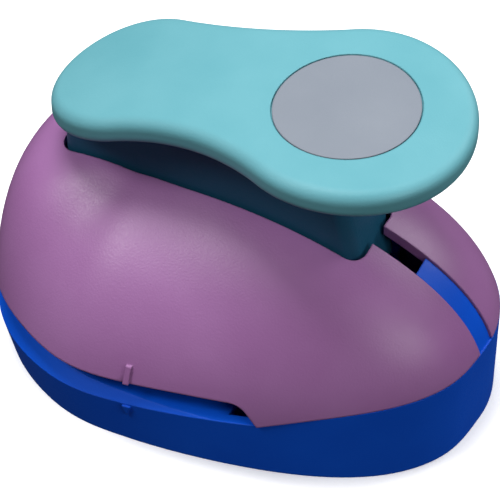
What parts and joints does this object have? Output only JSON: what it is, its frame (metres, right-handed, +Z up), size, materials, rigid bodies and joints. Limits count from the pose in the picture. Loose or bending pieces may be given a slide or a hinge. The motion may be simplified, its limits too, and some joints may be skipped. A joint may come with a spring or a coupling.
{
  "type": "craft punch",
  "caption": "Hand-held lever paper punch that cuts a round shape: egg-shaped base tray, domed cover and a sprung peanut-shaped thumb lever that drives a cutter into a die.",
  "frame": {"origin": "centre of the base tray's footprint, on the surface that the punch stands on", "axes": "+X to the rear, towards the thumb pad; +Y to the left of someone facing the paper mouth from behind; +Z up"},
  "size_m": [0.0935, 0.07, 0.0676],
  "materials": {
    "base_plastic": "satin moulded ABS, royal blue",
    "cover_plastic": "fine-textured moulded ABS, lilac",
    "lever_plastic": "fine-textured moulded ABS, turquoise",
    "disc_grey": "matt grey printed disc",
    "roller_plastic": "natural acetal",
    "tool_metal": "ground tool steel",
    "plated_steel": "zinc-plated sheet steel",
    "steel": "turned steel",
    "spring_steel": "spring steel",
    "screw_steel": "zinc-plated screws"
  },
  "bodies": {
    "base": {"base_tray": "base_plastic", "top_cover": "cover_plastic", "die_plate": "tool_metal", "throat_spacer": "plated_steel", "guide_plate": "tool_metal", "pivot_bracket": "plated_steel", "lever_pin": "steel", "pin_clips": "spring_steel", "spring_post_left": "steel", "spring_post_right": "steel", "return_spring_left": "spring_steel", "return_spring_right": "spring_steel", "post_caps": "spring_steel", "die_screws": "screw_steel", "bracket_screws": "screw_steel", "base_screws": "screw_steel", "case_screws": "screw_steel"},
    "lever": {"lever": "lever_plastic", "lever_disc": "disc_grey", "roller_pin": "steel"},
    "punch": {"punch_cutter": "tool_metal", "punch_carrier": "plated_steel", "carrier_screws": "screw_steel"},
    "roller": {"press_roller": "roller_plastic"}
  },
  "joints": [
    {"name": "lever_pivot", "type": "hinge", "parent": "base", "child": "lever", "pos_m": [-0.028, 0, 0.033], "axis": [0, 1, 0], "range_deg": [0, 10.7], "stiffness_Nm_per_rad": 0.77, "springref_deg": -11.46},
    {"name": "punch_slide", "type": "slide", "parent": "base", "child": "punch", "axis": [0, 0, -1], "range_m": [0, 0.0037], "deforming": ["return_spring_left", "return_spring_right"]},
    {"name": "roller_spin", "type": "hinge", "parent": "lever", "child": "roller", "pos_m": [-0.008, 0, 0.03215], "axis": [0, 1, 0], "continuous": true}
  ],
  "couplings": [
    {"joint": "punch_slide", "follows": "lever_pivot", "m_per_rad": 0.01943}
  ]
}
